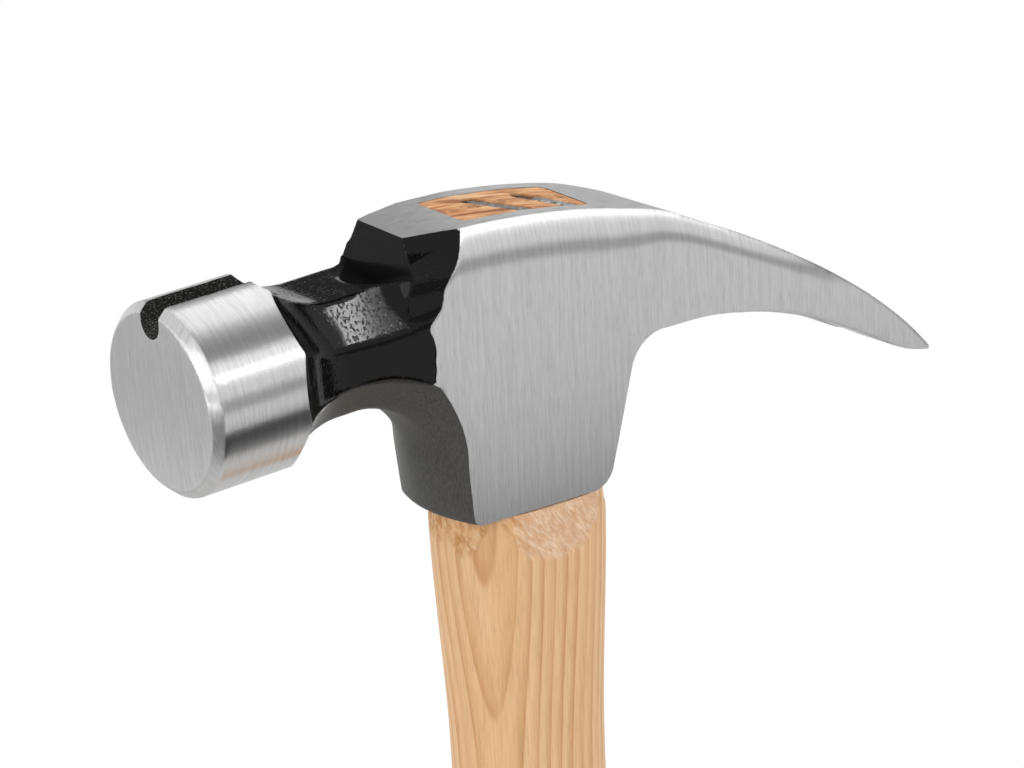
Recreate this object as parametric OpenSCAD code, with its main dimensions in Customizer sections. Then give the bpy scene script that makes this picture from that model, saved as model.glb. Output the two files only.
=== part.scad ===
// Framing hammer: a forged steel head hung on a hickory handle.
// X runs along the head, with the striking face towards -X and the claw towards +X.
// Z runs up the handle, and the origin is at the middle of the butt.

/* [Overall] */
// Height from the butt to the top of the eye block
overall_h = 406; // [340:1:460]
// Height of the head along the handle, from the foot of the skirt to the top of the eye block
head_h = 49.2; // [46:0.1:54]

/* [Poll] */
// Radius of the striking poll
poll_r = 16; // [14.5:0.1:17.5]
// Distance from the middle of the eye to the striking face
face_reach = 68; // [65:0.5:74]
// Length of the ground cylinder behind the face
poll_len = 17.3; // [15:0.1:19]
// Depth of the middle of the face below the top of the eye block
face_drop = 18.3; // [17:0.1:20]
// Angle by which the face looks down towards the handle, in degrees
poll_tilt = 3; // [0:0.5:5]
// Width of the bevel round the face, across the poll
face_bevel_w = 1.5; // [0.8:0.1:2.5]
// Length of the bevel round the face, along the poll
face_bevel_l = 1.6; // [0.8:0.1:2.5]
// Height of the crown of the face
face_crown_h = 0.4; // [0.1:0.1:0.8]

/* [Neck] */
// Half the width of the octagonal neck across its flats, at the waist
neck_r = 10.3; // [9.5:0.1:10.8]
// Angle of the slanting flats of the neck off its upright sides, in degrees
neck_facet_angle = 30; // [24:1:45]
// Radius of the flare from the neck up to the poll
neck_flare_r = 16; // [12:0.5:19]
// Radius of the brow from the top of the neck up to the eye block
brow_r = 5; // [4:0.1:7]

/* [Nail starter] */
// Width of the nail groove along the top of the poll
groove_w = 6; // [4.5:0.1:7]
// Depth of the nail groove below the top of the poll
groove_depth = 4.7; // [4:0.1:5.2]
// Depth of the nail groove where it runs out at the face
groove_lip_depth = 6.6; // [5.4:0.1:7.5]
// Length of the deepened lip at the face
groove_lip_len = 5; // [3:0.5:8]
// Radius of the hollow that takes the nail's head, in front of the eye block
pocket_r = 4.6; // [3.5:0.1:5.5]
// Length of the hollow that takes the nail's head
pocket_len = 9; // [6:0.5:10]
// Depth of the hollow at the eye block
pocket_depth = 2.6; // [1.5:0.1:3.5]
// Radius of the magnet that holds the nail
magnet_r = 2.5; // [1.8:0.1:3]
// Thickness of the magnet
magnet_h = 3; // [2:0.1:5]
// Distance from the face to the middle of the magnet
magnet_place = 12; // [9:0.5:14]
// Radial room for glue round the magnet
magnet_gap = 0.1; // [0.02:0.01:0.2]

/* [Eye block] */
// Distance from the middle of the eye to the front wall of the block
block_reach = 24.8; // [23:0.1:27]
// Width of the front wall
block_front_w = 13; // [9:0.1:15]
// Width of the head across its ground cheeks
cheek_w = 22; // [21:0.1:25]
// Distance from the middle of the eye to the front edge of the cheeks
cheek_reach = 17.5; // [16.5:0.1:19]
// Height of the front of the block above the middle of its top
top_rise = 1.3; // [0.8:0.1:2.5]
// Length of the eye along the head
eye_len = 26; // [23:0.1:26.4]
// Width of the eye
eye_w = 13; // [11:0.1:15]
// Radius of the eye's corners
eye_corner_r = 1.5; // [0.5:0.1:3]
// Radius of the arch from the neck down to the skirt
arch_r = 7; // [5:0.1:9]
// Distance from the middle of the eye to the start of the arch
arch_reach = 27.3; // [26:0.1:29]
// Width of the flat front of the skirt
skirt_front_w = 9; // [7:0.1:12]
// Length of the bevels from the skirt's front to the cheeks
skirt_bevel_l = 2.2; // [1.5:0.1:4]
// Distance from the middle of the eye to the front edge of the cheeks at the skirt
skirt_cheek_reach = 16.6; // [15.5:0.1:17.5]
// Angle by which the skirt's front leans, in degrees
skirt_front_angle = 14; // [10:0.1:17]
// Radius of the skirt's front corner
skirt_front_r = 5; // [3:0.1:6]
// Radius of the skirt's back corner
skirt_back_r = 2.5; // [1.5:0.1:4]

/* [Claw] */
// Distance from the middle of the eye to the tip of the claw
claw_reach = 83; // [76:0.5:92]
// Depth of the tip below the top of the eye block
claw_drop = 41.2; // [36:0.1:46]
// Thickness of the blunt tip
claw_tip_t = 0.8; // [0.4:0.1:2]
// Width of the claw across its tips
claw_w = 26; // [24:0.1:30]
// Distance from the middle of the eye to the middle of the crook
crook_reach = 24; // [23:0.1:27]
// Depth of the crook below the top of the eye block
crook_depth = 24.5; // [22:0.1:27]
// Radius of the crook between claw and skirt
crook_r = 7.2; // [6:0.1:8]
// Angle by which the skirt's back leans, in degrees
skirt_back_angle = 15; // [11:0.5:19]
// Distance from the middle of the eye to the narrow end of the nail slot
slot_reach = 40; // [36:0.5:46]
// Width of the nail slot at its narrow end
slot_w = 1.8; // [1.2:0.1:2.6]
// Width of the nail slot between the tips
slot_tip_w = 10; // [8:0.1:12]

/* [Handle] */
// Half the handle's width along the head, at its shoulder under the skirt
shoulder_hx = 15.2; // [13.5:0.1:16.4]
// Half the handle's thickness at its shoulder
shoulder_hy = 10.9; // [9.5:0.1:12]
// Half the handle's width at its slim neck
slim_hx = 13.3; // [12:0.1:15]
// Half the handle's thickness at its slim neck
slim_hy = 9.8; // [8.5:0.1:11]
// Half the handle's width at the swell of the grip
grip_hx = 15.6; // [14:0.1:18]
// Half the handle's thickness at the swell of the grip
grip_hy = 12.2; // [10:0.1:14]
// Half the handle's width at the hollow above the butt
hollow_hx = 14.6; // [13:0.1:17]
// Half the handle's thickness at the hollow above the butt
hollow_hy = 11.4; // [10:0.1:13]
// Half the handle's width at the flare of the butt
butt_hx = 18.4; // [17:0.1:21]
// Half the handle's thickness at the flare of the butt
butt_hy = 13.8; // [12.5:0.1:16]
// Height of the flat foot of the butt
butt_foot_h = 2; // [1:0.1:4]
// Width of the rounded edge between the foot and the flare
butt_edge_w = 2.4; // [1.5:0.1:4]

/* [Wedges] */
// Thickness of the wooden wedge at the top of the eye
wood_wedge_t = 2.6; // [1.6:0.1:3.6]
// Depth of the wooden wedge
wood_wedge_h = 32; // [24:0.5:38]
// Thickness of a steel wedge at the top of the eye
steel_wedge_t = 2.4; // [1.6:0.1:3]
// Length of a steel wedge across the eye
steel_wedge_l = 11.2; // [9:0.1:11.6]
// Depth of a steel wedge
steel_wedge_h = 17; // [12:0.5:22]
// Distance between the steel wedges along the head
steel_wedge_gap = 10; // [8:0.1:12]
// Distance from the middle of the eye to midway between the steel wedges
steel_wedge_shift = 1.2; // [0:0.1:2]
// Angle of the steel wedges off square to the head, in degrees
steel_wedge_skew = 24; // [10:1:28]

/* [Hidden] */
$fn = 64;

// Overrun of cuts past the faces they open
over = 1;
// Depth by which the neck ends under the cheeks, and its hollow ends short of the front wall
neck_inset = 0.2;
pocket_inset = 0.3;
// Width of the groove's deepened lip, as a share of the groove's width
lip_share = 0.96;
// Places along the two long curves of the claw, as shares of their spans: [along, down]
claw_top_shares = [[0.41, 0.025], [0.71, 0.395]];
claw_under_shares = [[0.39, 0.52], [0.69, 1.1]];
// Places of the handle's sections, as shares of the shaft's height
butt_share = 0.035;
hollow_share = 0.17;
grip_share = 0.42;
slim_share = 0.86;
// Roundness of the handle's oval: 2 is an ellipse, more is squarer
oval_power = 2.8;
ring_count = 40;
ring_sides = 32;
curve_steps = 14;
arc_steps = 6;

head_z = overall_h;
shaft_h = overall_h - head_h;
facet_half = tan(45 - neck_facet_angle / 2);
poll_rise = poll_r - neck_r;
// The waist lies where the flare, which meets the poll's surface at poll_len, has run down to the neck
waist_s = poll_len + sqrt(pow(neck_flare_r, 2) - pow(neck_flare_r - poll_rise, 2));
flare_top_angle = acos(1 - (poll_rise + over) / neck_flare_r);
neck_end_s = (face_reach - cheek_reach) / cos(poll_tilt);
wall_s = (face_reach - block_reach) / cos(poll_tilt);
brow_reach = block_reach + brow_r;
groove_floor_r = poll_r - groove_depth;
tenon_root = shoulder_hy;

function bezier(p, t) = pow(1 - t, 3) * p[0] + 3 * pow(1 - t, 2) * t * p[1]
    + 3 * (1 - t) * pow(t, 2) * p[2] + pow(t, 3) * p[3];
function curve(p) = [for (i = [0 : curve_steps]) bezier(p, i / curve_steps)];
function arc(c, r, from, to) = [for (i = [0 : arc_steps])
    let (a = from + (to - from) * i / arc_steps) c + r * [cos(a), sin(a)]];
function span(a, b, share) = [a[0] + (b[0] - a[0]) * share[0], a[1] + (b[1] - a[1]) * share[1]];
// Middle of a foot corner of radius r, below a leaning face that starts at p: side is 1 behind, -1 in front
function foot(p, angle, r, side) = let (z = r - head_h)
    [p[0] + side * ((z - p[1]) * sin(angle) - r) / cos(angle), z];
function neck_half(s) = neck_r + (cheek_w / 2 - neck_inset - neck_r) * (s - waist_s) / (neck_end_s - waist_s);
// Height of the poll axis at a distance in front of the middle of the eye
function axis_z(reach) = (face_reach - reach) * tan(poll_tilt) - face_drop;

// Half outline of the neck across its flats: the flare off the poll, then straight to the cheeks
neck_edge = concat(
    [[0, poll_r + over]],
    [for (i = [0 : curve_steps]) let (a = flare_top_angle * (1 - i / curve_steps))
        [waist_s - neck_flare_r * sin(a), neck_r + neck_flare_r * (1 - cos(a))]],
    [[neck_end_s, neck_half(neck_end_s)]]);

// Outline of the eye block, skirt and claw, seen from the side
claw_start = [-eye_len / 2, top_rise];
claw_tip = [claw_reach, -claw_drop];
claw_heel = [claw_reach - claw_tip_t, -claw_drop - claw_tip_t / 2];
crook_top = [crook_reach, -crook_depth];
crook_mid = crook_top - [0, crook_r];
crook_arc = arc(crook_mid, crook_r, 90, 180 - skirt_back_angle);
arch_mid = [-arch_reach, axis_z(arch_reach) - neck_r - arch_r];
brow_mid = [-brow_reach, axis_z(brow_reach) + neck_r + brow_r];
arch_arc = arc(arch_mid, arch_r, skirt_front_angle, 90);
back_foot = foot(crook_arc[arc_steps], skirt_back_angle, skirt_back_r, 1);
front_foot = foot(arch_arc[0], skirt_front_angle, skirt_front_r, -1);
side_outline = concat(
    [[-block_reach, top_rise]],
    curve([claw_start, span(claw_start, claw_tip, claw_top_shares[0]),
        span(claw_start, claw_tip, claw_top_shares[1]), claw_tip]),
    curve([claw_heel, span(claw_heel, crook_top, claw_under_shares[0]),
        span(claw_heel, crook_top, claw_under_shares[1]), crook_top]),
    [for (i = [1 : arc_steps]) crook_arc[i]],
    arc(back_foot, skirt_back_r, -skirt_back_angle, -90),
    arc(front_foot, skirt_front_r, -90, skirt_front_angle - 180),
    arch_arc,
    [[-brow_reach, axis_z(brow_reach)]],
    arc(brow_mid, brow_r, -90, 0));

// Half outlines of the eye block and of the skirt, seen from above, with the claw behind them
claw_edge = [[crook_reach, cheek_w / 2], [claw_reach + over, claw_w / 2]];
block_edge = concat(
    [[-brow_reach, block_front_w / 2], [-block_reach, block_front_w / 2], [-cheek_reach, cheek_w / 2]],
    claw_edge);
skirt_edge = concat(
    [[-arch_reach, neck_r * facet_half], [-skirt_cheek_reach - skirt_bevel_l, skirt_front_w / 2],
        [-skirt_cheek_reach, cheek_w / 2]],
    claw_edge);

// Sections of the handle from the butt up: [height, half width, half thickness]
sections = [
    [butt_foot_h / 2, butt_hx - butt_edge_w, butt_hy - butt_edge_w],
    [shaft_h * butt_share, butt_hx, butt_hy],
    [shaft_h * hollow_share, hollow_hx, hollow_hy],
    [shaft_h * grip_share, grip_hx, grip_hy],
    [shaft_h * slim_share, slim_hx, slim_hy],
    [shaft_h, shoulder_hx, shoulder_hy]];

// A symmetric plate outline from the half outline of its edge
module mirrored_outline(edge) {
    last = len(edge) - 1;
    polygon(concat(edge, [for (i = [0 : last]) [edge[last - i][0], -edge[last - i][1]]]));
}

module rounded_rect(l, w, r) {
    square([l - 2 * r, w], center = true);
    square([l, w - 2 * r], center = true);
    for (x = [-1, 1], y = [-1, 1])
        translate([x * (l / 2 - r), y * (w / 2 - r)]) circle(r);
}

// Stands a side outline up on the middle plane of the head, with width w
module upright(w) {
    rotate([90, 0, 0]) linear_extrude(w, center = true) children();
}

// Moves the poll's own frame, with its axis along +X from the middle of the face, into the head
module on_poll_axis() {
    translate([-face_reach, 0, -face_drop]) rotate([0, -poll_tilt, 0]) children();
}

// Bar of the poll and neck: bevelled, slightly crowned face and a plain cylinder
module poll_bar() {
    face_r = poll_r - face_bevel_w;
    crown = [for (i = [0 : arc_steps]) let (k = i / arc_steps) [face_r * k, face_crown_h * pow(k, 2)]];
    rotate([0, 90, 0]) rotate_extrude() polygon(concat(
        crown, [[poll_r, face_crown_h + face_bevel_l], [poll_r, neck_end_s], [0, neck_end_s]]));
}

// Round-bottomed groove along the top of the poll, with a lip that falls away at the face
module nail_groove() {
    lip_angle = atan((groove_lip_depth - groove_depth) / groove_lip_len);
    lip_l = groove_lip_len + groove_depth;
    lip_r = groove_w * lip_share / 2;
    translate([-over, 0, groove_floor_r + groove_w / 2]) rotate([90, 0, 90]) linear_extrude(waist_s + over) {
        circle(d = groove_w);
        translate([-groove_w / 2, 0]) square([groove_w, poll_r]);
    }
    translate([groove_lip_len, 0, groove_floor_r]) rotate([0, -lip_angle, 0])
        translate([-lip_l, 0, lip_r]) rotate([0, 90, 0]) cylinder(r = lip_r, h = lip_l + groove_w);
}

// Hollow that falls from the top flat of the neck towards the front wall of the eye block
module nail_pocket() {
    fall = atan(pocket_depth / pocket_len);
    intersection() {
        on_poll_axis() translate([wall_s, 0, neck_half(wall_s) - pocket_depth]) rotate([0, fall, 0])
            translate([-pocket_len - pocket_r, 0, pocket_r]) rotate([0, 90, 0])
                cylinder(r = pocket_r, h = pocket_len + 2 * pocket_r);
        translate([-face_reach, -cheek_w / 2, -head_h])
            cube([face_reach - block_reach - pocket_inset, cheek_w, 2 * head_h]);
    }
}

module magnet_seat(r, h) {
    translate([magnet_place, 0, groove_floor_r - magnet_h]) cylinder(r = r, h = h);
}

module striking_end() {
    on_poll_axis() difference() {
        intersection() {
            poll_bar();
            neck_octagon();
        }
        nail_groove();
        magnet_seat(magnet_r + magnet_gap, magnet_h + groove_w);
    }
}

// The octagonal neck: four waisted plates turned about the poll axis, and what they share
module neck_octagon() {
    intersection() {
        upright(4 * poll_r) mirrored_outline(neck_edge);
        rotate([90 - neck_facet_angle, 0, 0]) upright(4 * poll_r) mirrored_outline(neck_edge);
        rotate([90, 0, 0]) upright(4 * poll_r) mirrored_outline(neck_edge);
        rotate([90 + neck_facet_angle, 0, 0]) upright(4 * poll_r) mirrored_outline(neck_edge);
    }
}

module eye_block_and_claw() {
    // The bevels of the block stand above the neck, and those of the skirt hang below it
    intersection() {
        upright(claw_w + 2 * over) polygon(side_outline);
        union() {
            translate([0, 0, axis_z(block_reach)]) linear_extrude(head_h) mirrored_outline(block_edge);
            translate([0, 0, -2 * head_h]) linear_extrude(2 * head_h + axis_z(block_reach) + over)
                mirrored_outline(skirt_edge);
        }
    }
}

module eye_prism() {
    translate([0, 0, -2 * head_h]) linear_extrude(4 * head_h) rounded_rect(eye_len, eye_w, eye_corner_r);
}

module claw_slot() {
    translate([0, 0, -2 * head_h]) linear_extrude(4 * head_h) {
        mirrored_outline([[slot_reach, slot_w / 2], [claw_reach + over, slot_tip_w / 2]]);
        translate([slot_reach, 0]) circle(d = slot_w);
    }
}

// Wedge with its thick end up: length l, and thickness t at the top of the eye block
module wedge(l, t, h) {
    wide = t * (h + 2 * top_rise) / h;
    rotate([90, 0, 90]) linear_extrude(l, center = true)
        polygon([[-wide / 2, 2 * top_rise], [wide / 2, 2 * top_rise], [0, -h]]);
}

// Keeps what lies under the ground top of the head
module ground_flush() {
    intersection() {
        children();
        upright(claw_w) polygon(side_outline);
    }
}

module wood_wedge_blank() {
    wedge(eye_len, wood_wedge_t, wood_wedge_h);
}

module steel_wedge_blank(side) {
    translate([steel_wedge_shift + side * steel_wedge_gap / 2, 0, 0])
        rotate([0, 0, steel_wedge_skew - 90]) wedge(steel_wedge_l, steel_wedge_t, steel_wedge_h);
}

function oval(s) = [for (i = [0 : ring_sides - 1]) let (a = 360 * i / ring_sides, p = 2 / oval_power)
    [s[1] * sign(cos(a)) * pow(abs(cos(a)), p), s[2] * sign(sin(a)) * pow(abs(sin(a)), p), s[0]]];
// Section of the handle at height z, easing from each given section to the next
function section_at(z, i = 0) = i < len(sections) - 2 && z > sections[i + 1][0] ? section_at(z, i + 1)
    : let (k = (z - sections[i][0]) / (sections[i + 1][0] - sections[i][0]), e = (1 - cos(180 * k)) / 2)
        [z, sections[i][1] + (sections[i + 1][1] - sections[i][1]) * e,
            sections[i][2] + (sections[i + 1][2] - sections[i][2]) * e];

module shaft() {
    low = sections[0][0];
    rings = [for (i = [0 : ring_count]) section_at(low + (shaft_h - low) * pow(i / ring_count, 1.4))];
    n = ring_sides;
    sides = [for (r = [0 : ring_count - 1], i = [0 : n - 1], half = [0, 1])
        let (a = r * n + i, b = r * n + (i + 1) % n) half == 0 ? [a, a + n, b] : [b, a + n, b + n]];
    polyhedron(
        points = [for (s = rings, p = oval(s)) p],
        faces = concat([[for (i = [0 : n - 1]) i]], sides,
            [[for (i = [0 : n - 1]) ring_count * n + n - 1 - i]]));
}

// Wood that fills the eye, ground flush with the top of the head
module tenon() {
    translate([0, 0, head_z]) intersection() {
        upright(eye_w + over) {
            intersection() {
                polygon(side_outline);
                translate([-eye_len / 2, -2 * head_h]) square([eye_len, 4 * head_h]);
            }
            translate([-eye_len / 2, -head_h - tenon_root]) square([eye_len, head_h / 2 + tenon_root]);
        }
        eye_prism();
    }
}

module butt_foot() {
    hx = butt_hx - 2 * butt_edge_w;
    hy = butt_hy - 2 * butt_edge_w;
    linear_extrude(butt_foot_h) rounded_rect(2 * hx, 2 * hy, hy - butt_edge_w);
}

module head() {
    color("silver") translate([0, 0, head_z]) difference() {
        union() {
            striking_end();
            eye_block_and_claw();
        }
        nail_pocket();
        eye_prism();
        claw_slot();
    }
}

module handle() {
    color("burlywood") difference() {
        union() {
            shaft();
            tenon();
            butt_foot();
        }
        translate([0, 0, head_z]) {
            wood_wedge_blank();
            steel_wedge_blank(-1);
            steel_wedge_blank(1);
        }
    }
}

module wood_wedge() {
    color("peru") translate([0, 0, head_z]) difference() {
        ground_flush() wood_wedge_blank();
        steel_wedge_blank(-1);
        steel_wedge_blank(1);
    }
}

module steel_wedge_front() {
    color("dimgray") translate([0, 0, head_z]) ground_flush() steel_wedge_blank(-1);
}

module steel_wedge_rear() {
    color("dimgray") translate([0, 0, head_z]) ground_flush() steel_wedge_blank(1);
}

module nail_magnet() {
    color("gainsboro") translate([0, 0, head_z]) on_poll_axis() magnet_seat(magnet_r, magnet_h);
}

head();
handle();
wood_wedge();
steel_wedge_front();
steel_wedge_rear();
nail_magnet();
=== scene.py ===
import math

import bpy
import numpy as np
from mathutils import Matrix, Vector


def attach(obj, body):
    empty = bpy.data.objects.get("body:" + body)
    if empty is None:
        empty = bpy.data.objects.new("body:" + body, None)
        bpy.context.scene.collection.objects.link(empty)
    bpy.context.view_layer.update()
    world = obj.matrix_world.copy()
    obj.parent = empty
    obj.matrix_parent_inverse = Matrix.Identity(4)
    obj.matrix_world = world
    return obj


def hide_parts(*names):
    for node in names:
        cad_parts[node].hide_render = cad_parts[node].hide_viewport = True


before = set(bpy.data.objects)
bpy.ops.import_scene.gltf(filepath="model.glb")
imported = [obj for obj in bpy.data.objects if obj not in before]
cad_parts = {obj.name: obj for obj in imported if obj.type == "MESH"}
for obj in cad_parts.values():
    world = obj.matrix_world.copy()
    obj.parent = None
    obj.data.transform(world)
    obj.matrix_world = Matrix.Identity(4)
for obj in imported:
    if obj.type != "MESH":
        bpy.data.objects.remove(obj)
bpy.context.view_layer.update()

# Handle: one length of hickory, turned to an oval, shaved and lacquered. Its tenon fills the eye of
# the head, and the shoulder under the skirt is rasped down by hand until the head seats.
MM = 0.001
# Heights above the floor: the head's own zero, the foot of its skirt and the handle's shoulder
HEAD_Z, FOOT_Z, SHOULDER_Z = 406.0, 356.8, 356.1
OVAL_POWER = 2.8
# Height, half width and half thickness of each section from the butt up
HANDLE_SECTIONS = np.array([
    [1.0, 16.0, 11.4],
    [12.49, 18.4, 13.8],
    [60.66, 14.6, 11.4],
    [149.86, 15.6, 12.2],
    [306.85, 13.3, 9.8],
    [FOOT_Z, 15.2, 10.9]])
EYE_LEN, EYE_WIDTH, EYE_CORNER = 26.0, 13.0, 1.5
# The tenon's end lies just under the ground top, and deeper where the steel wedges split it
TENON_SINK, SLOT_SINK, TENON_FOOT_Z = 0.14, 0.6, FOOT_Z - 8.0
# Behind this the shoulder is cut in to the heel of the skirt
HEEL_X = 12.4
# The butt is rounded in to a flat: share of the oval, and height
BUTT_FOOT = [(0.985, 0.55), (0.955, 0.22), (0.91, 0.05), (0.84, 0.0), (0.45, 0.0)]
# Where each steel wedge starts and ends on the end grain: [along, across]
STEEL_WEDGES = [[(-5.0, 3.1), (0.8, -6.1)], [(4.8, 2.5), (9.9, -6.1)]]


def mesh_piece(name, points, faces):
    """A mesh object from points in millimetres."""
    mesh = bpy.data.meshes.new(name)
    mesh.from_pydata((np.asarray(points) * MM).tolist(), [],
                     [[int(k) for k in face] for face in faces])
    mesh.validate()
    piece = bpy.data.objects.new(name, mesh)
    bpy.context.scene.collection.objects.link(piece)
    return piece


def point_values(piece, name, values):
    """A number for each point of a mesh, for its material to read."""
    layer = piece.data.attributes.new(name, "FLOAT", "POINT")
    layer.data.foreach_set("value", np.asarray(values, dtype=np.float32))


def smooth_step(value, low, high):
    k = np.clip((value - low) / (high - low), 0.0, 1.0)
    return k * k * (3.0 - 2.0 * k)


def span_below(rows, at):
    """Which row each value follows, in rows of rising first numbers."""
    return np.clip(np.searchsorted(rows[:, 0], at, side="right") - 1, 0, len(rows) - 2)


def curve_through(points, count):
    """A smooth curve through points in rising order of their first number."""
    p = np.asarray(points, dtype=float)
    slope = np.gradient(p[:, 1], p[:, 0])
    x = np.linspace(p[0, 0], p[-1, 0], count)
    i = span_below(p, x)
    w = p[i + 1, 0] - p[i, 0]
    t = (x - p[i, 0]) / w
    y = ((2 * t ** 3 - 3 * t ** 2 + 1) * p[i, 1] + (t ** 3 - 2 * t ** 2 + t) * w * slope[i]
         + (3 * t ** 2 - 2 * t ** 3) * p[i + 1, 1] + (t ** 3 - t ** 2) * w * slope[i + 1])
    return np.column_stack([x, y])


# The ground top of the head in side view, which the tenon and the wedges share: [along, up]
TOP_LINE = curve_through([
    [-120.0, 0.85], [-60.0, 0.85], [-25.0, 0.85], [-17.0, 1.15], [-8.0, 0.98], [0.0, 0.42],
    [8.4, -0.6], [17.1, -2.25], [26.0, -4.75], [34.6, -8.5], [43.3, -12.55], [52.0, -17.2],
    [61.0, -22.6], [70.0, -28.9], [79.0, -36.7], [83.0, -41.0]], 500)
TOP_LEAN = 0.044
TOP_LIMIT = 1.27
CHEEK_HALF = 11.0


def top_height(x, y):
    """Height of the ground top, which leans a little down to the near cheek as far as the claw."""
    lean = TOP_LEAN * y * smooth_step(x, 26.0, 16.0)
    return np.minimum(np.interp(x, TOP_LINE[:, 0], TOP_LINE[:, 1]) + lean, TOP_LIMIT)


def handle_section(z):
    """Half width and half thickness at a height, easing from each section to the next."""
    i = span_below(HANDLE_SECTIONS, z)
    low, high = HANDLE_SECTIONS[i], HANDLE_SECTIONS[i + 1]
    k = np.clip((z - low[:, 0]) / (high[:, 0] - low[:, 0]), 0.0, 1.0)
    ease = ((1 - np.cos(np.pi * k)) / 2)[:, None]
    return low[:, 1:] + (high[:, 1:] - low[:, 1:]) * ease


# Each patch of rasp strokes: middle and half width round the handle in degrees, and reach down
RASP_PATCHES = [[-88, 42, 9.8], [-163, 30, 7.6], [-18, 30, 6.8],
                [62, 34, 8.2], [118, 38, 9.0], [170, 26, 6.4]]


def rasp_edge(angle):
    """How far below the skirt the rasped band reaches at an angle round the handle, in scallops."""
    reach = np.full(np.shape(angle), 0.6)
    for middle, half, depth in RASP_PATCHES:
        off = (np.degrees(angle) - middle + 180.0) % 360.0 - 180.0
        reach = np.maximum(reach, depth * (1.0 - (off / half) ** 2))
    return reach + 0.35 * np.sin(23.0 * angle) + 0.25 * np.sin(41.0 * angle + 1.0)


def wedge_slot(x, y):
    """How far the wood is split open for the steel wedges, 1 in the slots and 0 outside."""
    open_wood = np.zeros(np.shape(x))
    for start, end in STEEL_WEDGES:
        start, end = np.array(start), np.array(end)
        run = end - start
        length = np.hypot(*run)
        along = ((x - start[0]) * run[0] + (y - start[1]) * run[1]) / length
        off = np.abs((x - start[0]) * run[1] - (y - start[1]) * run[0]) / length
        past = np.maximum(np.maximum(-along, along - length), 0.0)
        open_wood = np.maximum(open_wood, smooth_step(np.hypot(off, past), 1.55, 1.2))
    return open_wood


def tenon_height(x, y):
    """Height of the tenon's ground end, with its fibres raised a little."""
    fibres = 0.03 * np.sin(1.1 * x + 1.9 * np.sin(2.3 * y)) + 0.025 * np.sin(7.7 * y + 0.6 * x)
    return HEAD_Z + top_height(x, y) - TENON_SINK + fibres


def shaft_rings():
    """Rings of the shaft from the butt up to the shoulder, and how far each point is rasped."""
    angle = np.linspace(0.0, 2 * np.pi, 208, endpoint=False)
    oval = [np.sign(k) * np.abs(k) ** (2 / OVAL_POWER) for k in (np.cos(angle), np.sin(angle))]
    # The rings lie close where the rasp has been
    close_z = 330.0
    heights = np.concatenate([
        [1.0, 1.4, 2.0, 2.8, 3.8, 5.0, 6.5, 8.2, 10.0], np.arange(12.5, close_z, 3.0),
        np.arange(close_z, SHOULDER_Z - 0.2, 0.42), [SHOULDER_Z]])
    half = handle_section(heights)
    depth = (FOOT_Z - heights)[:, None]
    # Flat rasp strokes bite a little into the oval, most at the skirt
    rasped = smooth_step(rasp_edge(angle) - depth, -0.5, 0.9)
    strokes = (0.10 * np.sin(9.0 * angle + 0.55 * depth)
               + 0.05 * np.sin(23.0 * angle - 0.8 * depth + 1.3))
    bite = rasped * (0.30 + strokes + 0.02 * np.sin(2.7 * depth + 40.0 * angle))
    x, y = ((half[:, [k]] - bite) * oval[k] for k in (0, 1))
    kept = 0.25 + 0.75 * smooth_step(depth, 0.7, 4.5)
    x = np.where(x > HEEL_X, HEEL_X + (x - HEEL_X) * kept, x)
    return np.stack([x, y, np.broadcast_to(heights[:, None], x.shape)], axis=-1), rasped


def tenon_grid(columns, lines):
    """A grid over the tenon's end, pulled in to its rounded corners."""
    clear = 0.02
    x, y = np.meshgrid(np.linspace(-1.0, 1.0, columns) * (EYE_LEN / 2 - clear),
                       np.linspace(-1.0, 1.0, lines) * (EYE_WIDTH / 2 - clear), indexing="ij")
    over_x = np.maximum(np.abs(x) - (EYE_LEN / 2 - EYE_CORNER), 0.0)
    over_y = np.maximum(np.abs(y) - (EYE_WIDTH / 2 - EYE_CORNER), 0.0)
    out = np.hypot(over_x, over_y)
    pull = np.where(out > EYE_CORNER, EYE_CORNER / np.maximum(out, 1e-6), 1.0)
    return (np.sign(x) * (np.abs(x) - over_x + over_x * pull),
            np.sign(y) * (np.abs(y) - over_y + over_y * pull))


def band_faces(lower, upper):
    """Quads between two closed rings of points."""
    return list(zip(lower, np.roll(lower, -1), np.roll(upper, -1), upper))


def fan_faces(ring, middle):
    """Triangles from a closed ring of points to one in its middle."""
    return [(a, b, middle) for a, b in zip(ring, np.roll(ring, -1))]


def grid_faces(columns, lines, first=0):
    """Quads of a grid of points, and the closed ring of points round it."""
    n = first + np.arange(columns * lines).reshape(columns, lines)
    quads = np.stack([n[:-1, :-1], n[1:, :-1], n[1:, 1:], n[:-1, 1:]], axis=-1)
    rim = np.concatenate([n[:-1, 0], n[-1, :-1], n[:0:-1, -1], n[0, :0:-1]])
    return quads.reshape(-1, 4).tolist(), rim


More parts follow.
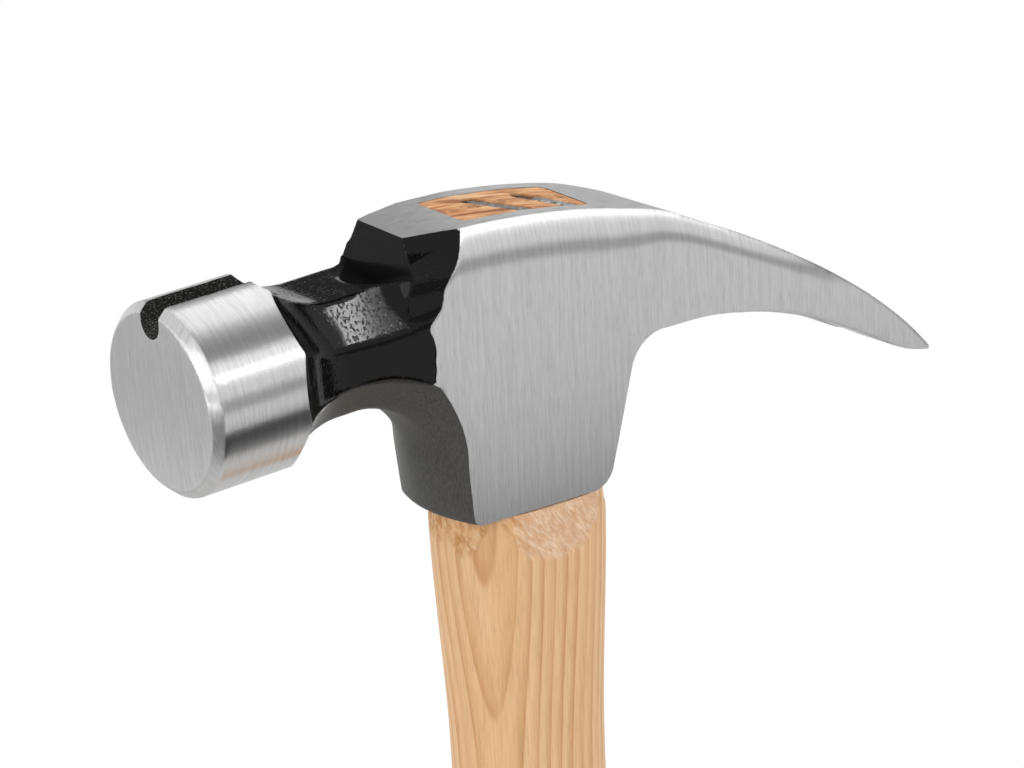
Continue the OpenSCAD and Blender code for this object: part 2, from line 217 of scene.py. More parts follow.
def make_handle():
    points, faces = [], []

    def add(rows):
        """Adds points and gives their numbers."""
        points.extend(rows)
        return np.arange(len(points) - len(rows), len(points))

    shaft, rasped = shaft_rings()
    body = [add(ring) for ring in shaft]
    foot = [add(shaft[0] * (k, k, 0.0) + (0.0, 0.0, height)) for k, height in BUTT_FOOT]
    rings = foot[::-1] + body
    for lower, upper in zip(rings, rings[1:]):
        faces += band_faces(lower, upper)
    # The flat of the butt, and the shoulder, which closes inside the skirt
    faces += fan_faces(rings[0][::-1], add([[0.0, 0.0, 0.0]])[0])
    faces += fan_faces(rings[-1], add([[0.0, 0.0, SHOULDER_Z]])[0])
    # The tenon: a rounded rectangle with its end grain ground almost flush with the head
    x, y = tenon_grid(105, 53)
    open_wood = wedge_slot(x, y)
    end = np.stack([x, y, tenon_height(x, y) - SLOT_SINK * open_wood], axis=-1).reshape(-1, 3)
    top = add(end)
    quads, rim = grid_faces(*x.shape, first=top[0])
    low = add(end[rim - top[0]] * (1.0, 1.0, 0.0) + (0.0, 0.0, TENON_FOOT_Z))
    faces += quads + band_faces(low, rim)
    faces += fan_faces(low[::-1], add([[0.0, 0.0, TENON_FOOT_Z]])[0])
    piece = mesh_piece("hickory_handle", points, faces)
    # The splits round the steel wedges carry the end grain's painted shade
    for name, where, values in [("rasped", slice(rasped.size), rasped),
                                ("end_grain", top, 1.0), ("slot_painted_shade", top, open_wood)]:
        shown = np.zeros(len(points))
        shown[where] = np.ravel(values)
        point_values(piece, name, shown)
    piece.data.shade_smooth()
    piece.data.set_sharp_from_angle(angle=math.radians(50))
    return piece


def feed(tree, node, sockets):
    """Gives each socket of a node a plain value or another node's output."""
    for name, value in sockets.items():
        if isinstance(value, bpy.types.NodeSocket):
            tree.links.new(value, node.inputs[name])
        else:
            node.inputs[name].default_value = value


def put(tree, kind, sockets=None, **settings):
    """Adds a shader node with its settings and sockets."""
    node = tree.nodes.new("ShaderNode" + kind)
    for name, value in settings.items():
        setattr(node, name, value)
    feed(tree, node, sockets or {})
    return node


def math_node(tree, operation, *values):
    return put(tree, "Math", dict(enumerate(values)), operation=operation).outputs[0]


def times(tree, first, second):
    return math_node(tree, "MULTIPLY", first, second)


def times_add(tree, value, factor, offset):
    return math_node(tree, "MULTIPLY_ADD", value, factor, offset)


def blend_colour(tree, amount, first, second):
    return put(tree, "Mix", {0: amount, 6: first, 7: second}, data_type="RGBA").outputs[2]


def layered(tree, colour, *layers):
    """A colour with others laid over it, each by its own amount."""
    for amount, other in layers:
        colour = blend_colour(tree, amount, colour, other)
    return colour


def blend_value(tree, amount, first, second):
    return put(tree, "Mix", {0: amount, 2: first, 3: second}, data_type="FLOAT").outputs[0]


def remap(tree, value, low, high, to_low=0.0, to_high=1.0):
    return put(tree, "MapRange", {0: value, 1: low, 2: high, 3: to_low, 4: to_high},
               interpolation_type="SMOOTHSTEP").outputs[0]


def stretched(tree, vector, scale):
    return put(tree, "VectorMath", {0: vector, 1: scale}, operation="MULTIPLY").outputs[0]


def stretched_noise(tree, vector, scale, detail=2.0, roughness=0.5):
    return put(tree, "TexNoise", {
        "Vector": stretched(tree, vector, scale), "Scale": 1.0, "Detail": detail,
        "Roughness": roughness}).outputs["Fac"]


def turned(tree, vector, degrees, axis):
    return put(tree, "VectorRotate", {"Vector": vector, "Angle": math.radians(degrees)},
               rotation_type=axis).outputs[0]


def read_points(tree, name):
    """The numbers that point_values gave the mesh."""
    return put(tree, "Attribute", attribute_name=name).outputs["Fac"]


def bump_normal(tree, height, strength, distance):
    return put(tree, "Bump", {"Strength": strength, "Distance": distance,
                              "Height": height}).outputs[0]


def new_material(name):
    material = bpy.data.materials.new(name)
    material.use_nodes = True
    tree = material.node_tree
    tree.nodes.clear()
    output = put(tree, "OutputMaterial")
    shader = put(tree, "BsdfPrincipled")
    tree.links.new(shader.outputs[0], output.inputs["Surface"])
    return material, tree, shader


def new_group(name, inputs, outputs):
    """An empty shader group with named float, colour or vector sockets."""
    group = bpy.data.node_groups.new(name, "ShaderNodeTree")
    for way, sockets in (("INPUT", inputs), ("OUTPUT", outputs)):
        for socket, kind in sockets:
            group.interface.new_socket(name=socket, in_out=way, socket_type="NodeSocket" + kind)
    return group, group.nodes.new("NodeGroupInput"), group.nodes.new("NodeGroupOutput")


# Wood fibres along Z in metres: fine streaks, open pores as short dashes, and their relief
fibres, ask, give = new_group(
    "wood_fibres", [("Place", "Vector"), ("Pores", "Float")],
    [("Streaks", "Float"), ("Pores", "Float"), ("Height", "Float")])
streaks = stretched_noise(fibres, ask.outputs["Place"], (2600.0, 2600.0, 90.0), 3.0)
pore_noise = stretched_noise(fibres, ask.outputs["Place"], (3400.0, 3400.0, 210.0), 1.0)
pores = times(fibres, remap(fibres, pore_noise, 0.60, 0.72), ask.outputs["Pores"])
feed(fibres, give, {"Streaks": streaks, "Pores": pores,
                    "Height": math_node(fibres, "SUBTRACT", streaks, pores)})


def hickory_material():
    material, tree, shader = new_material("lacquered_hickory")
    place = put(tree, "TexCoord").outputs["Object"]
    axes = put(tree, "SeparateXYZ", {0: place}).outputs
    # Growth rings lie round a pith far behind, so a tall arch opens where the side runs along them
    pith_x, pith_y, pith_lean = 0.0335, 0.0345, 0.016
    ring_width, last_ring = 0.00145, 49.0
    across = math_node(tree, "SUBTRACT", axes[0], pith_x)
    deep = math_node(tree, "SUBTRACT", axes[1], pith_y)
    ring = math_node(tree, "SQRT", math_node(
        tree, "ADD", times(tree, across, across), times(tree, deep, deep)))
    ring = times_add(tree, axes[2], pith_lean, ring)
    wander = stretched_noise(tree, place, (34.0, 34.0, 7.0))
    ring = times_add(tree, wander, 0.0016, ring)
    count = times_add(tree, ring, 1.0 / ring_width, 0.62)
    phase = math_node(tree, "FRACT", count)
    # Each ring starts dark and sharp and fades to pale, some more than others
    patches = stretched_noise(tree, place, (330.0, 330.0, 9.0))
    uneven = times(tree, remap(tree, phase, 0.0, 0.10), remap(tree, patches, 0.32, 0.66, 0.35, 1.2))
    early = times(tree, remap(tree, phase, 0.75, 0.05), uneven)
    line = times(tree, remap(tree, phase, 0.22, 0.06), uneven)
    # The last ring fills the arch with one broad tan field
    inner = remap(tree, count, last_ring, last_ring + 1.6, 0.6, 0.85)
    line = times(tree, line, remap(tree, count, last_ring + 0.6, last_ring + 0.4))
    early = blend_value(tree, remap(tree, count, last_ring, last_ring + 0.12), early, inner)
    wood = put(tree, "Group", {"Place": place, "Pores": 1.0}, node_tree=fibres).outputs
    tone = remap(tree, stretched_noise(tree, place, (70.0, 70.0, 5.0), 3.0), 0.3, 0.7)
    pale, honey, tan = (0.93, 0.62, 0.35, 1), (0.86, 0.51, 0.26, 1), (0.66, 0.345, 0.145, 1)
    ring_brown, streak_brown = (0.60, 0.25, 0.11, 1), (0.50, 0.25, 0.11, 1)
    pore_brown = (0.36, 0.17, 0.07, 1)
    colour = layered(
        tree, pale, (tone, honey), (times(tree, early, 0.62), tan),
        (times(tree, line, 0.42), ring_brown),
        (remap(tree, wood["Streaks"], 0.35, 0.75, 0.0, 0.26), streak_brown),
        (times(tree, wood["Pores"], 0.16), pore_brown))
    # Rasped wood under the skirt is pale, pinkish and dull, with darker strokes, scorched in front
    rasped = read_points(tree, "rasped")
    slanted = turned(tree, place, 38.0, "Y_AXIS")
    fuzz = stretched_noise(tree, slanted, (2300.0, 1500.0, 620.0), 3.0, roughness=0.65)
    stroke = stretched_noise(tree, slanted, (700.0, 700.0, 150.0))
    pink, pale_pink, brown = (0.77, 0.47, 0.28, 1), (0.95, 0.72, 0.54, 1), (0.70, 0.40, 0.22, 1)
    singed, scorched = (0.84, 0.50, 0.235, 1), (0.58, 0.245, 0.06, 1)
    scorch = blend_colour(tree, remap(tree, stroke, 0.36, 0.60), singed, scorched)
    in_front = remap(tree, axes[0], -0.005, -0.009)
    raw = layered(
        tree, pink, (remap(tree, fuzz, 0.38, 0.62), pale_pink),
        (remap(tree, stroke, 0.42, 0.62, 0.0, 0.55), brown),
        (times(tree, in_front, remap(tree, fuzz, 0.66, 0.46, 0.5, 0.95)), scorch))
    colour = blend_colour(tree, times(tree, rasped, 0.8), colour, raw)
    # End grain in the eye: orange, soaked dark in streaks along the eye, and near black in the
    # splits round the steel wedges as painted shade in the gaps
    end = read_points(tree, "end_grain")
    sheared = turned(tree, place, 9.0, "Z_AXIS")
    rows = stretched_noise(tree, sheared, (130.0, 1100.0, 10.0), 4.0, roughness=0.6)
    burn = stretched_noise(tree, sheared, (95.0, 560.0, 10.0), 3.0)
    rust, orange, slot_shade_black = (0.60, 0.235, 0.09, 1), (0.86, 0.49, 0.23, 1), (0.035, 0.022, 0.014, 1)
    dark_brown, straw = (0.30, 0.09, 0.035, 1), (0.93, 0.68, 0.43, 1)
    soaked = layered(
        tree, rust, (remap(tree, rows, 0.34, 0.62), orange),
        (remap(tree, burn, 0.52, 0.66, 0.0, 0.8), dark_brown),
        (remap(tree, burn, 0.44, 0.30, 0.0, 0.8), straw), (read_points(tree, "slot_painted_shade"), slot_shade_black))
    rough = blend_value(tree, rasped, times_add(tree, wood["Streaks"], 0.12, 0.42), 0.78)
    height = times_add(tree, early, -0.25, wood["Height"])
    height = times_add(tree, times(tree, fuzz, rasped), 8.0, height)
    height = times_add(tree, times(tree, rows, end), 3.0, height)
    feed(tree, shader, {
        "Base Color": blend_colour(tree, end, colour, soaked),
        "Roughness": blend_value(tree, end, rough, 0.66),
        "Normal": bump_normal(tree, height, 0.35, 0.00012), "Specular IOR Level": 0.32})
    return material


handle = make_handle()
handle.data.materials.append(hickory_material())
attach(handle, "root")
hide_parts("handle")

# Head: one drop forging of tool steel. The poll, cheeks, top and claw are ground and brushed; the
# neck, the nail groove and the fronts of the eye block and the skirt are left in black paint.
# Sizes are in millimetres: x and z from the middle of the eye's top, s back from the poll's face
FACE_X, FACE_Z = -67.98, -18.3
POLL_TILT = math.radians(3.0)
POLL_R, POLL_LEN, FACE_R, FACE_CROWN = 15.98, 24.0, 14.5, 0.4
BEVEL_W, BEVEL_L = 1.5, 1.6
NECK_R, NECK_TAPER, NECK_END, NECK_LOW = 10.3, 0.028, 52.0, 18.0
FLARE_R, WAIST = 16.0, 29.54
FACET_EDGE = 0.4
UPPER_FACET, UPPER_TURN = 24.4, 12.2
UNDER_FLAT, UNDER_FALL, ARCH_R = 4.41, 7.3, 11.0
NOSE_X, NOSE_Z, NOSE_LEAN, NOSE_COS = -22.0, -31.85, 0.231, 0.974
GROOVE_HALF, GROOVE_FLOOR, GROOVE_LEN = 2.65, 11.3, 27.0
GROOVE_LIP, GROOVE_LIP_LEN = 0.9, 5.0
MAGNET_S, SEAT_R, SEAT_FLOOR = 12.0, 2.6, 8.3
POCKET_START, POCKET_DEPTH = 35.8, 2.6
WALL_X, WALL_LEAN, WALL_TOP, WALL_HALF = -24.9, 0.11, 0.75, 6.25
CHEEK_FRONT_X, DRAW_IN, DRAW_FROM, DRAW_REACH = -27.0, 0.75, -12.0, 38.0
CLAW_TIP_X, CLAW_START_X, CLAW_SPREAD = 82.97, 24.0, 2.0
SLOT_X, SLOT_HALF, SLOT_TIP_HALF = 40.0, 0.9, 5.0
EYE_SHOWN = 5.0
GRID = 0.5


def arc(centre, radius, start, stop, count):
    a = np.radians(np.linspace(start, stop, count))
    return np.column_stack([centre[0] + radius * np.cos(a), centre[1] + radius * np.sin(a)])


# Side outline of claw, crook and skirt; its front and top lie outside the steel, which ends there
# at the neck, at the skirt's nose and at the ground top
SIDE_LINE = np.vstack([
    [[-60.0, 9.0], [CLAW_TIP_X, 9.0], [CLAW_TIP_X, -41.2]],
    curve_through([[24.0, -24.5], [34.0, -24.4], [45.0, -26.2], [56.6, -29.9], [65.1, -33.8],
                   [70.8, -36.8], [75.5, -39.2], [79.0, -40.5], [82.2, -41.2]], 40)[::-1],
    arc((24.0, -31.7), 7.2, 90.0, 165.0, 12)[1:],
    arc((8.40, -45.2), 4.5, -15.0, -90.0, 11),
    [[-60.0, -49.7]]])
# Where the front of the block and skirt reaches the cheeks: [height, along]
FRONT_LINE = curve_through([
    [-52.0, -15.6], [-39.3, -16.8], [-33.1, -17.5], [-28.0, -19.6], [-24.3, -22.1],
    [-22.8, -22.9], [-20.8, -22.5], [-18.2, -22.0], [-16.0, -22.0], [-14.2, -22.2],
    [-12.6, -22.0], [-11.2, -20.7], [-9.4, -19.3], [-7.8, -18.3], [-6.2, -17.6],
    [-4.4, -16.9], [-2.5, -16.2], [-0.8, -15.6], [0.9, -15.1], [3.0, -15.0]], 400)
# How far the front of the skirt falls back from its middle to the cheeks: [height, depth]
FRONT_DEPTH = np.array([
    [-48.4, 2.2], [-39.3, 3.4], [-33.1, 4.6], [-30.3, 5.25], [-28.0, 5.9], [-24.0, 7.3]])
# Where the rougher paint with its painted sheen starts under the neck: [behind the face, height off
# the poll's axis]
SHEEN_EDGE = np.array([[19.0, -8.7], [23.6, -4.8], [27.3, -3.4], [31.3, -3.3], [37.2, -4.4],
                      [44.4, -6.9], [52.0, -11.0]])


def soft_max(a, b, width):
    k = np.clip(0.5 + 0.5 * (a - b) / width, 0.0, 1.0)
    return b + (a - b) * k + width * k * (1.0 - k)


def filleted(a, b, radius):
    """Joins two bodies with a round inside corner."""
    ua, ub = np.maximum(radius - a, 0.0), np.maximum(radius - b, 0.0)
    return np.maximum(radius, np.minimum(a, b)) - np.hypot(ua, ub)


def outline_distance(x, z, line):
    """Signed distance to a closed outline, negative inside."""
    best = np.full(np.broadcast(x, z).shape, np.inf)
    inside = np.zeros(best.shape, dtype=bool)
    for (ax, az), (bx, bz) in zip(line, np.roll(line, -1, axis=0)):
        ex, ez = bx - ax, bz - az
        wx, wz = x - ax, z - az
        t = np.clip((wx * ex + wz * ez) / (ex * ex + ez * ez), 0.0, 1.0)
        best = np.minimum(best, (wx - ex * t) ** 2 + (wz - ez * t) ** 2)
        crossing = ((az > z) != (bz > z)) & (wx < ex * wz / (ez if ez else 1.0))
        inside ^= crossing
    return np.where(inside, -1.0, 1.0) * np.sqrt(best)


def poll_place(x, z):
    """Distance behind the face along the tilted poll, and height off its axis."""
    dx, dz = x - FACE_X, z - FACE_Z
    c, s = math.cos(POLL_TILT), math.sin(POLL_TILT)
    return dx * c + dz * s, dz * c - dx * s


def wall_place(z):
    """Where the front wall of the eye block stands at a height; it leans a little."""
    return WALL_X + WALL_LEAN * (z - WALL_TOP)


def cheek_roll(x, depth):
    """How far the belt rolls a cheek in at a depth below the top, less along the claw."""
    band = 8.0 - 3.2 * smooth_step(x, 10.0, 36.0) - 0.8 * smooth_step(x, 36.0, 60.0)
    return 0.235 * band * np.clip(1.0 - depth / band, 0.0, 1.0) ** 2 * smooth_step(x, 72.0, 40.0)


def ground_faces(x, y, z):
    """Distances to the surfaces that are ground bright, negative below them: the poll, its face and
    bevel, the cheeks and the top."""
    ya = np.abs(y)
    s, up = poll_place(x, z)
    r = np.hypot(ya, up)
    cylinder = np.where(s < POLL_LEN, r - POLL_R, -9.0)
    face = FACE_CROWN * (np.minimum(r, FACE_R) / FACE_R) ** 2 - s
    slant = math.hypot(BEVEL_W, BEVEL_L)
    bevel = ((r - FACE_R) * BEVEL_L - (s - FACE_CROWN) * BEVEL_W) / slant
    # The cheeks spread along the claw, roll over towards the top and draw in down the skirt
    depth = top_height(x, y) - z
    spread = CLAW_SPREAD / (CLAW_TIP_X - CLAW_START_X)
    down = np.clip((DRAW_FROM - z) / DRAW_REACH, 0.0, 1.0)
    half = (CHEEK_HALF + np.maximum(x - CLAW_START_X, 0.0) * spread - cheek_roll(x, depth)
            - DRAW_IN * down ** 2 * smooth_step(x, 36.0, 20.0))
    cheek = ya - half - np.maximum(CHEEK_FRONT_X - x, 0.0)
    slope = np.interp(x, TOP_LINE[:, 0], np.gradient(TOP_LINE[:, 1], TOP_LINE[:, 0]))
    top = -depth / np.sqrt(1.0 + slope ** 2)
    return cylinder, face, bevel, cheek, top


def underside(x, ya, z, up, flare):
    """The arch under the neck, which runs on down the skirt and falls away to both sides."""
    nose_x = NOSE_X + NOSE_LEAN * (NOSE_Z - z)
    arch = filleted(-up - (NECK_R + flare), NOSE_COS * (nose_x - x), ARCH_R)
    behind = smooth_step(x, -42.0, -32.0)
    fall = UNDER_FALL + (np.interp(z, *FRONT_DEPTH.T) - UNDER_FALL) * behind
    # Under the neck the sides fall straight from a flat; on the skirt they curve from the middle
    start, reach = UNDER_FLAT + 0.445 * flare, CHEEK_HALF - UNDER_FLAT
    skirt = smooth_step(-z, 26.0, 36.0) * behind
    share = (soft_max(ya - start, 0.0, 0.9) / reach * (1.0 - skirt)
             + (ya / CHEEK_HALF) ** 2 * skirt)
    steep = fall * (np.where(ya > start, 1.0, 0.0) / reach * (1.0 - skirt)
                    + 2.0 * ya / CHEEK_HALF ** 2 * skirt)
    return (arch + fall * share) / np.sqrt(1.0 + steep ** 2)


def head_field(x, y, z):
    """Rough signed distance to the head's surface in millimetres, negative in the steel."""
    ya = np.abs(y)
    s, up = poll_place(x, z)
    cylinder, face, bevel, cheek, top = ground_faces(x, y, z)
    # Neck: eight forged flats that flare out to the poll; the upper slanting pair stands steeper
    run = np.clip(WAIST - s, 0.0, 0.95 * FLARE_R)
    flare = FLARE_R - np.sqrt(FLARE_R ** 2 - run ** 2)
    sides = ya - (NECK_R + flare + NECK_TAPER * np.maximum(s - WAIST, 0.0))
    over = up - (NECK_R + flare)
    turn = smooth_step(WAIST - s, 0.0, UPPER_TURN)
    slant = np.radians(UPPER_FACET + (45.0 - UPPER_FACET) * turn)
    hollow = 0.0026 * np.clip(s - 31.5, 0.0, 9.0) ** 2
    upper = ya * np.cos(slant) + up * np.sin(slant) - (NECK_R + 0.2 + flare + hollow)
    lower = underside(x, ya, z, up, flare)
    neck = soft_max(soft_max(sides, over, FACET_EDGE), soft_max(upper, lower, FACET_EDGE),
                    FACET_EDGE)
    poll = soft_max(soft_max(cylinder, bevel, 0.25), face, 0.25)
    neck = np.maximum(np.maximum(neck, poll), np.maximum(s - NECK_END, -up - NECK_LOW))
    # Eye block, skirt and claw: a front wall with a slanting corner on each side, then the skirt
    wall_x = wall_place(z)
    wall_half = WALL_HALF + 0.5 * np.clip(WALL_TOP - z, -1.0, 6.5)
    edge_x = np.interp(z, *FRONT_LINE.T)
    out_x = np.maximum(edge_x - wall_x, 1.0)
    out_y = np.maximum(CHEEK_HALF - cheek_roll(x, 0.9 - z) - wall_half, 0.4)
    corner = ((ya - wall_half) * out_x - (x - wall_x) * out_y) / np.hypot(out_x, out_y)
    block_front = soft_max(wall_x - x, corner, 0.4)
    skirt_front = np.maximum(lower, edge_x - x - 22.0 * smooth_step(-z, 22.8, 26.0))
    front = skirt_front + (block_front - skirt_front) * smooth_step(up, -3.0, 3.0)
    outline = outline_distance(x, z, SIDE_LINE)
    block = soft_max(front, outline, 1.4 * smooth_step(-z, 30.0, 40.0) + 0.05)
    round_in = 0.05 + 1.15 * smooth_step(up, -6.5, -3.0) + 3.2 * smooth_step(up, 3.0, 9.0)
    body = filleted(neck, block, round_in)
    body = soft_max(soft_max(body, cheek, 0.06), top, 0.04)
    # A fine bevel breaks the lower edges of the claw
    body = np.maximum(body, 0.6 * outline + 0.8 * cheek + 0.5 * smooth_step(x, 38.0, 50.0) - 0.02)
    # Claw slot with its edges bevelled at the top, and the eye
    depth = top_height(x, y) - z
    widen = (SLOT_TIP_HALF - SLOT_HALF) / (CLAW_TIP_X - SLOT_X)
    half = (SLOT_HALF + np.maximum(x - SLOT_X, 0.0) * widen
            + 0.8 * np.clip(1.0 - depth / 1.6, 0.0, 1.0))
    slot = np.where(x > SLOT_X, ya, np.hypot(x - SLOT_X, ya)) - half
    body = np.maximum(body, -slot)
    qx, qy = np.abs(x) - (EYE_LEN / 2 - EYE_CORNER), ya - (EYE_WIDTH / 2 - EYE_CORNER)
    eye = (np.hypot(np.maximum(qx, 0.0), np.maximum(qy, 0.0))
           + np.minimum(np.maximum(qx, qy), 0.0) - EYE_CORNER)
    body = np.maximum(body, -np.maximum(eye, -EYE_SHOWN - z))
    # Nail groove with a lip at the face, the magnet's seat, and the hollow for the nail's head
    floor = GROOVE_FLOOR - GROOVE_LIP * np.clip(1.0 - s / GROOVE_LIP_LEN, 0.0, 1.4) ** 1.3
    middle = floor + GROOVE_HALF
    groove = np.where(up > middle, ya, np.hypot(ya, up - middle)) - GROOVE_HALF
    body = soft_max(body, -np.maximum(groove, s - GROOVE_LEN), 0.22)
    seat = np.maximum(np.hypot(s - MAGNET_S, ya) - SEAT_R, SEAT_FLOOR - up)
    body = np.maximum(body, -seat)
    rim = POCKET_START + 1.5 * (ya / 6.6) ** 2
    fall = np.clip((s - rim) / 7.0, 0.0, 1.2)
    bowl = NECK_R - POCKET_DEPTH * fall * (1.05 - np.hypot(ya, 0.6) / 8.4)
    flank = ya - wall_half - 1.2
    pocket = np.maximum(np.maximum(bowl - up, flank), np.maximum(x - wall_x, POCKET_START - s))
    return soft_max(body, -pocket, 0.25)


def field_normals(field, p):
    """Unit normals of a field at scattered points, by small steps."""
    step = 0.02
    n = np.empty_like(p)
    for axis in range(3):
        ahead, behind = p.copy(), p.copy()
        ahead[:, axis] += step
        behind[:, axis] -= step
        n[:, axis] = field(*ahead.T) - field(*behind.T)
    return n / np.maximum(np.linalg.norm(n, axis=1, keepdims=True), 1e-9)


def contour(field, low, high, pitch):
    """Meshes the surface where a field is 0, keeping its sharp edges: points, quads, point normals
    and how alike the normals are round each point."""
    axes = [np.arange(a, b + pitch, pitch) for a, b in zip(low, high)]
    cells = [len(a) - 1 for a in axes]
    value = field(axes[0][:, None, None], axes[1][None, :, None], axes[2][None, None, :])
    inside = value < 0.0
    steps = np.eye(3, dtype=int)
    owners, spots, quads = [], [], []

    def place_of(node):
        return np.column_stack([axes[k][node[:, k]] for k in range(3)])

    for axis in range(3):
        b, c = (axis + 1) % 3, (axis + 2) % 3
        node = np.argwhere(np.diff(inside, axis=axis))
        for k in (b, c):
            node = node[(node[:, k] > 0) & (node[:, k] < cells[k])]
        other = node + steps[axis]
        first, run = place_of(node), place_of(other) - place_of(node)
        f0, f1 = value[tuple(node.T)], value[tuple(other.T)]
        # The crossing is closed in on from both ends
        near, far = np.zeros(len(node)), np.ones(len(node))
        for _ in range(4):
            t = near + (far - near) * np.clip(f0 / (f0 - f1), 0.05, 0.95)
            f = field(*(first + run * t[:, None]).T)
            same = (f < 0.0) == (f0 < 0.0)
            near, f0 = np.where(same, t, near), np.where(same, f, f0)
            far, f1 = np.where(same, far, t), np.where(same, f1, f)
        t = near + (far - near) * np.clip(f0 / (f0 - f1), 0.0, 1.0)
        spots.append(first + run * t[:, None])
        # The four cells round each crossing, turned so that the quad faces out
        ring = np.column_stack([
            np.ravel_multi_index((node - i * steps[b] - j * steps[c]).T, cells)
            for i, j in ((0, 0), (1, 0), (1, 1), (0, 1))])
        owners.append(ring)
        quads.append(np.where(inside[tuple(node.T)][:, None], ring, ring[:, ::-1]))
    spots, owners, quads = np.vstack(spots), np.vstack(owners), np.vstack(quads)
    used, owner = np.unique(owners, return_inverse=True)
    owner = owner.ravel()
    p, n = np.repeat(spots, 4, axis=0), np.repeat(field_normals(field, spots), 4, axis=0)

    def gather(values):
        """Sums values over the crossings of each cell."""
        return np.column_stack([np.bincount(owner, v, len(used)) for v in values.T])

    # Each cell's point lies nearest to the planes of its crossings; a weak hold on their mean keeps
    # the points of flat cells steady
    hold = 0.004
    total = gather(np.ones((len(p), 1)))
    mean = gather(p) / total
    away = (n * (p - mean[owner])).sum(axis=1, keepdims=True)
    matrix = np.stack([gather(n * n[:, [k]]) for k in range(3)], axis=1)
    matrix += np.eye(3) * (hold * total)[:, :, None]
    shift = np.linalg.solve(matrix, gather(n * away)[:, :, None])[:, :, 0]
    base = place_of(np.column_stack(np.unravel_index(used, cells)))
    points = np.clip(mean + shift, base - 0.25 * pitch, base + 1.25 * pitch)
    normal = gather(n)
    length = np.linalg.norm(normal, axis=1, keepdims=True)
    quads = np.searchsorted(used, quads)
    return points, quads, normal / np.maximum(length, 1e-9), (length / total)[:, 0]


def make_head():
    points, quads, smooth, alike = contour(
        head_field, (-69.6, -16.9, -50.6), (84.2, 17.0, 2.4), GRID)
    # A quad that folds over a sharp edge is split along that edge
    sharp = alike < 0.985
    folds = sharp[quads].any(axis=1)
    fold = quads[folds]
    middle = [np.abs(head_field(*((points[fold[:, k]] + points[fold[:, k + 2]]) / 2).T))
              for k in (0, 1)]
    fold = np.where((middle[0] <= middle[1])[:, None], fold, np.roll(fold, -1, axis=1))
    triangles = np.vstack([fold[:, [0, 1, 2]], fold[:, [0, 2, 3]]])
    quads = quads[~folds]
    corners = np.concatenate([quads.ravel(), triangles.ravel()])
    sizes = np.repeat([4, 3], [len(quads), len(triangles)])
    centres = np.vstack([points[quads].mean(axis=1), points[triangles].mean(axis=1)])
    piece = mesh_piece("forged_head", points + [0.0, 0.0, HEAD_Z],
                       quads.tolist() + triangles.tolist())
    piece.data.shade_smooth()
    # Corner normals come from the shape itself; at a sharp edge each face keeps its own side's
    owner = np.repeat(np.arange(len(sizes)), sizes)
    corner_normals = smooth[corners]
    at_edge = sharp[corners]
    corner_normals[at_edge] = field_normals(head_field, centres[owner[at_edge]])
    piece.data.normals_split_custom_set(corner_normals.tolist())
    # Bare where the surface was ground, painted where it lies below the ground faces
    x, y, z = points.T
    ground = ground_faces(x, y, z)
    s, up = poll_place(x, z)
    in_groove = (np.abs(y) < GROOVE_HALF + 0.3) & (up > 8.0) & (s < GROOVE_LEN)
    on_poll = (s < POLL_LEN) & ~in_groove
    on_wall = (np.abs(wall_place(z) - x) < 0.3) & (up > 6.5)
    all_bare = (x > -12.0) | (on_poll & (s < 10.0))
    sheen_zone = smooth_step(np.interp(s, *SHEEN_EDGE.T) - up, 0.0, 1.0)
    for name, values in [
            ("bare", np.where(all_bare, 0.6, np.maximum.reduce(ground) + 0.12 * on_poll)),
            # The top's mask also darkens its grey as painted shade
            ("top_coarse_and_shade", smooth_step(ground[-1], -0.25, -0.08)),
            # The dull mask also lightens the paint's grey there as painted sheen
            ("dull_and_sheen", np.where(in_groove, 0.3, sheen_zone)),
            ("pebble", np.where(on_wall, 0.25, np.where(in_groove, 4.0, 1.0))),
            ("poll", smooth_step(s, 2.0, 3.0) * (s < POLL_LEN))]:
        point_values(piece, name, values)
    # Brushing runs along v: round the poll, down the face, its bevel and the cheeks, and along the
    # top, in the order of ground_faces; paint comes last
    off = np.abs(np.stack(ground_faces(*centres.T)))
    kind = np.where(off.min(axis=0) < 0.3, off.argmin(axis=0), len(off))[owner]
    px, py, pz = points[corners].T
    s, up = poll_place(px, pz)
    across = np.choose(kind, [s, py, py, px, py, px])
    along = np.choose(kind, [POLL_R * np.arctan2(py, up), up, up, pz, px, py])
    layer = piece.data.uv_layers.new(name="brushing")
    layer.data.foreach_set("uv", np.column_stack([across, along]).astype(np.float32).ravel())
    return piece


# Brushing lines of an abrasive belt: u runs across the lines and v along them, in millimetres
brushing, ask, give = new_group(
    "brushing_lines", [("Place", "Vector"), ("Fineness", "Float")],
    [("Lines", "Float"), ("Bands", "Float"), ("Height", "Float")])
sized = put(brushing, "VectorMath", {0: ask.outputs["Place"], "Scale": ask.outputs["Fineness"]},
            operation="SCALE").outputs[0]
fine = stretched_noise(brushing, sized, (9.0, 0.26, 1.0), 3.0, roughness=0.65)
coarse = stretched_noise(brushing, sized, (1.5, 0.06, 1.0), 2.0)
feed(brushing, give, {"Lines": fine, "Bands": coarse,
                      "Height": times_add(brushing, coarse, 0.6, fine)})


